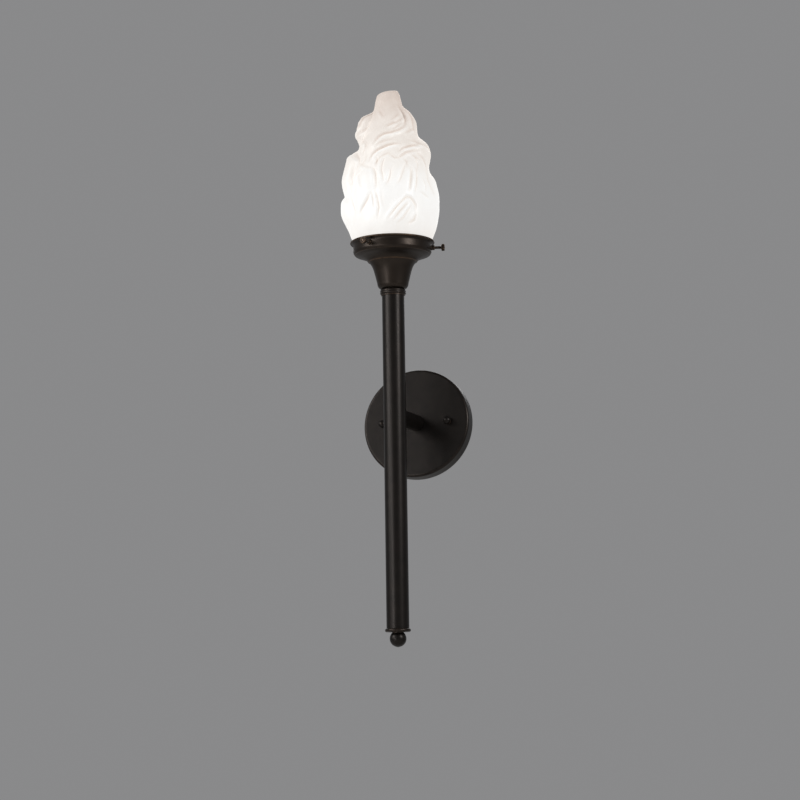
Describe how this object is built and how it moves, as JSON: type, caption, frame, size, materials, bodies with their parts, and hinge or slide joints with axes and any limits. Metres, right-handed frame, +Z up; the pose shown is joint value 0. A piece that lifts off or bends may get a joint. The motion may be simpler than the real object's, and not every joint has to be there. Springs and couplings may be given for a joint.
{
  "type": "torch sconce",
  "caption": "Torch wall sconce: round canopy, short arm, long slim tube with ball finial, flared bell and cup, shade screws and a frosted glass flame over a lamp.",
  "frame": {"origin": "middle of the canopy on the wall, in the plane of the wall, centre of the slots for the wall box screws", "axes": "+Z up, +Y into the wall, +X to the right as seen from the room"},
  "size_m": [0.128, 0.1703, 0.6338],
  "materials": {
    "bronze": "dark oil-rubbed bronze, satin",
    "steel": "zinc plated",
    "brass": "bare brass",
    "ground_green": "green, satin",
    "black_insulation": "black, matt",
    "white_insulation": "white, matt",
    "socket_ceramic": "glazed ceramic",
    "connector_orange": "orange, matt",
    "cap_aluminium": "bare",
    "solder": "solder",
    "cap_insulator": "black glass",
    "bulb_glass": "inside frosted, warm white when lit",
    "stem_glass": "clear",
    "tungsten": "wire",
    "frosted_glass": "satin white, lit from inside"
  },
  "bodies": {
    "fixture": {"canopy": "bronze", "ball_nut_left": "bronze", "ball_nut_right": "bronze", "arm_tube": "bronze", "torch_tube": "bronze", "neck_ring": "bronze", "bottom_disc": "bronze", "finial": "bronze", "trumpet_bell": "bronze", "shade_cup": "bronze", "screw_boss_1": "bronze", "screw_boss_2": "bronze", "screw_boss_3": "bronze", "mounting_plate": "steel", "canopy_stud_left": "steel", "canopy_stud_right": "steel", "stud_nut_left": "steel", "stud_nut_right": "steel", "arm_pipe": "steel", "tilt_washer": "steel", "canopy_lock_washer": "steel", "tee_block": "steel", "upper_pipe": "steel", "lower_rod": "steel", "cup_washer": "steel", "socket_cap": "steel", "terminal_screw_neutral": "steel", "ground_ring": "brass", "canopy_nut": "brass", "cup_nut": "brass", "screw_shell": "brass", "centre_contact": "brass", "terminal_screw_hot": "brass", "ground_screw": "ground_green", "ground_lead": "ground_green", "hot_lead": "black_insulation", "socket_shell": "black_insulation", "neutral_lead": "white_insulation", "socket_body": "socket_ceramic", "hot_connector": "connector_orange", "neutral_connector": "connector_orange", "flame_shade": "frosted_glass"},
    "screw_1": {"thumbscrew_shank_1": "bronze"},
    "knob_1": {"thumbscrew_knob_1": "bronze"},
    "screw_2": {"thumbscrew_shank_2": "bronze"},
    "knob_2": {"thumbscrew_knob_2": "bronze"},
    "screw_3": {"thumbscrew_shank_3": "bronze"},
    "knob_3": {"thumbscrew_knob_3": "bronze"},
    "bulb_carrier": {"bulb_contact": "solder"},
    "bulb": {"bulb_cap": "cap_aluminium", "bulb_insulator": "cap_insulator", "bulb_glass": "bulb_glass", "bulb_stem": "stem_glass", "bulb_filament": "tungsten"}
  },
  "joints": [
    {"name": "screw_1_travel", "type": "slide", "parent": "fixture", "child": "screw_1", "axis": [0.9659, 0.2573, 0.028], "range_m": [0, 0.00317]},
    {"name": "screw_1_turn", "type": "hinge", "parent": "screw_1", "child": "knob_1", "pos_m": [0.0483, -0.0978, 0.18395], "axis": [0.9659, 0.2573, 0.028], "range_deg": [0, 1440]},
    {"name": "screw_2_travel", "type": "slide", "parent": "fixture", "child": "screw_2", "axis": [-0.7071, 0.703, 0.0764], "range_m": [0, 0.00317]},
    {"name": "screw_2_turn", "type": "hinge", "parent": "screw_2", "child": "knob_2", "pos_m": [-0.03535, -0.07551, 0.18637], "axis": [-0.7071, 0.703, 0.0764], "range_deg": [0, 1440]},
    {"name": "screw_3_travel", "type": "slide", "parent": "fixture", "child": "screw_3", "axis": [-0.2588, -0.9603, -0.1043], "range_m": [0, 0.00317]},
    {"name": "screw_3_turn", "type": "hinge", "parent": "screw_3", "child": "knob_3", "pos_m": [-0.01294, -0.15868, 0.17734], "axis": [-0.2588, -0.9603, -0.1043], "range_deg": [0, 1440]},
    {"name": "bulb_travel", "type": "slide", "parent": "fixture", "child": "bulb_carrier", "axis": [0, -0.108, 0.9942], "range_m": [0, 0.01089]},
    {"name": "bulb_turn", "type": "hinge", "parent": "bulb_carrier", "child": "bulb", "pos_m": [0, -0.11173, 0.19239], "axis": [0, -0.108, 0.9942], "range_deg": [0, 1080]}
  ],
  "couplings": [
    {"joint": "screw_1_turn", "follows": "screw_1_travel", "rad_per_m": 7915.8},
    {"joint": "screw_2_turn", "follows": "screw_2_travel", "rad_per_m": 7915.8},
    {"joint": "screw_3_turn", "follows": "screw_3_travel", "rad_per_m": 7915.8},
    {"joint": "bulb_travel", "follows": "bulb_turn", "m_per_rad": 0.00057751}
  ]
}
